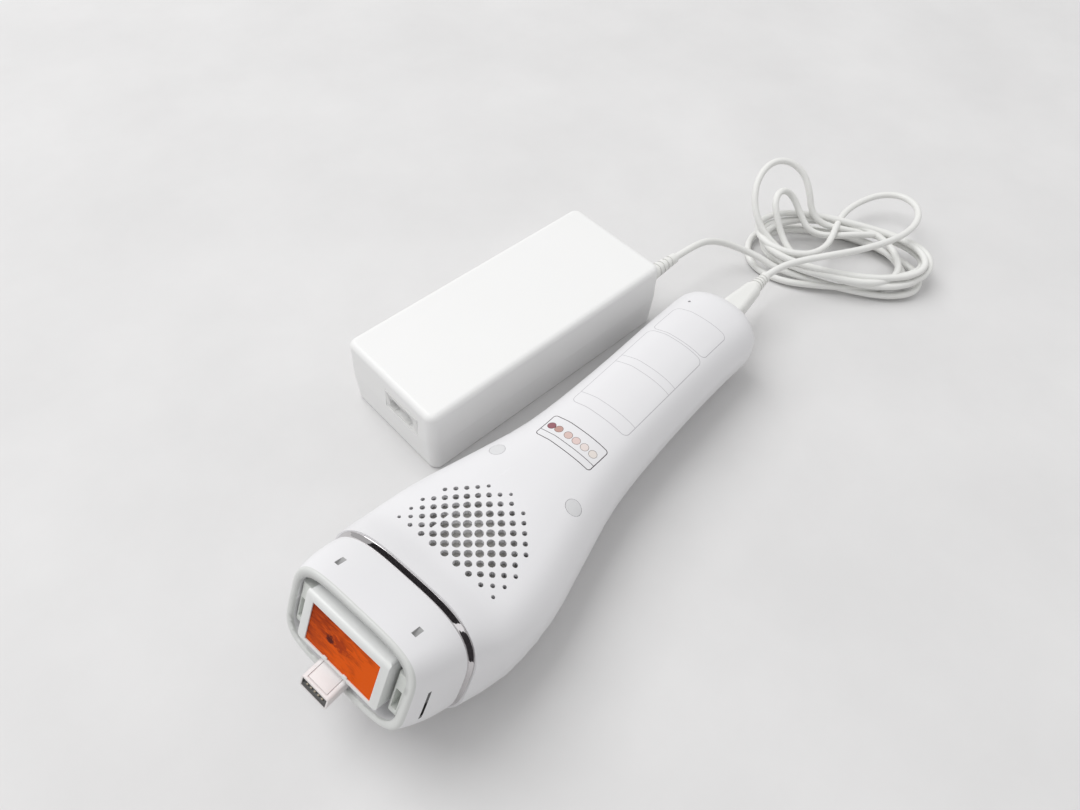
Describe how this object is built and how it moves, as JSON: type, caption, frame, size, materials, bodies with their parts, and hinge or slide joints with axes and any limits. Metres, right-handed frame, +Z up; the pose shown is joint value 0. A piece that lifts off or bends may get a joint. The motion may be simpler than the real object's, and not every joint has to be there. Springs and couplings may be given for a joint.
{
  "type": "ipl hair remover",
  "caption": "Wand shaped flash hair remover with an angled amber window, dotted cooling vents and a mains adapter on a loose white lead.",
  "frame": {"origin": "on the table under the middle of the box round the handset and its adapter, the free lead left out", "axes": "+X from the nose along the handset to its tail, +Y from the handset towards the adapter, +Z up from the table"},
  "size_m": [0.4039, 0.1701, 0.062],
  "materials": {
    "white_shell": "satin gloss white moulding",
    "chrome_trim": "polished chrome plating",
    "black_plastic": "fine textured black",
    "adapter_shell": "fine matt white moulding",
    "inlet_plastic": "pale grey white moulding",
    "dark_trim": "dark insulated wire",
    "grey_plastic": "smooth grey",
    "amber_glass": "amber filter glass",
    "lamp_glass": "clear quartz",
    "reflector_metal": "polished",
    "steel": "plated",
    "brass_contact": "gold plated contact",
    "board_green": "solder mask",
    "capacitor_sleeve": "shrink sleeve",
    "ferrite": "sintered ferrite and winding",
    "copper_winding": "enamelled copper",
    "light_lens": "translucent light pipe",
    "cord_sheath": "white flexible sheath",
    "button_blue_grey": "satin"
  },
  "bodies": {
    "handset": {"nose_shell": "white_shell", "window_frame": "white_shell", "filter_glass": "amber_glass", "reflector": "reflector_metal", "flash_lamp": "lamp_glass", "lamp_electrodes": "steel", "lamp_holders": "grey_plastic", "pocket_latches": "white_shell", "terminal_tongue": "white_shell", "terminal_contacts": "brass_contact", "tongue_board": "board_green", "chrome_ring": "chrome_trim", "back_cover": "white_shell", "front_cover": "white_shell", "screw_caps": "white_shell", "case_screws": "steel", "air_duct": "grey_plastic", "fan_frame": "black_plastic", "main_board": "board_green", "flash_capacitor": "capacitor_sleeve", "charge_transformer": "ferrite", "board_chips": "black_plastic", "dc_jack": "black_plastic", "jack_pin": "steel", "jack_bezel": "grey_plastic", "lamp_leads": "dark_trim", "button_board": "board_green", "button_switches": "black_plastic", "flash_button_spring": "steel", "power_button_spring": "steel", "level_lights": "light_lens"},
    "flash_key": {"flash_button": "button_blue_grey"},
    "power_key": {"power_button": "button_blue_grey"},
    "rotor": {"fan_rotor": "black_plastic"},
    "power_lead": {"dc_plug": "cord_sheath", "plug_barrel": "steel", "plug_strain_relief": "cord_sheath", "cord_from_adapter": "cord_sheath", "cord_to_plug": "cord_sheath", "cord_tall_loop": "cord_sheath", "cord_small_loop": "cord_sheath", "cord_hank": "cord_sheath", "adapter_top_case": "adapter_shell", "adapter_bottom_case": "adapter_shell", "mains_inlet": "inlet_plastic", "inlet_pins": "steel", "adapter_board": "board_green", "adapter_transformer": "ferrite", "adapter_capacitors": "capacitor_sleeve", "heat_sinks": "reflector_metal", "mains_choke": "copper_winding", "adapter_strain_relief": "cord_sheath"}
  },
  "joints": [
    {"name": "flash_press", "type": "slide", "parent": "handset", "child": "flash_key", "axis": [0, 0, 1], "range_m": [0, 0.001], "stiffness_N_per_m": 900, "springref_m": -0.0008, "deforming": ["flash_button_spring"]},
    {"name": "power_press", "type": "slide", "parent": "handset", "child": "power_key", "axis": [0, 0, 1], "range_m": [0, 0.001], "stiffness_N_per_m": 700, "springref_m": -0.0008, "deforming": ["power_button_spring"]},
    {"name": "fan_spin", "type": "hinge", "parent": "handset", "child": "rotor", "pos_m": [-0.05184, -0.03449, 0.0325], "axis": [0, 0, 1], "continuous": true},
    {"name": "plug_pull", "type": "slide", "parent": "handset", "child": "power_lead", "axis": [1, 0, 0], "range_m": [0, 0.014]}
  ]
}
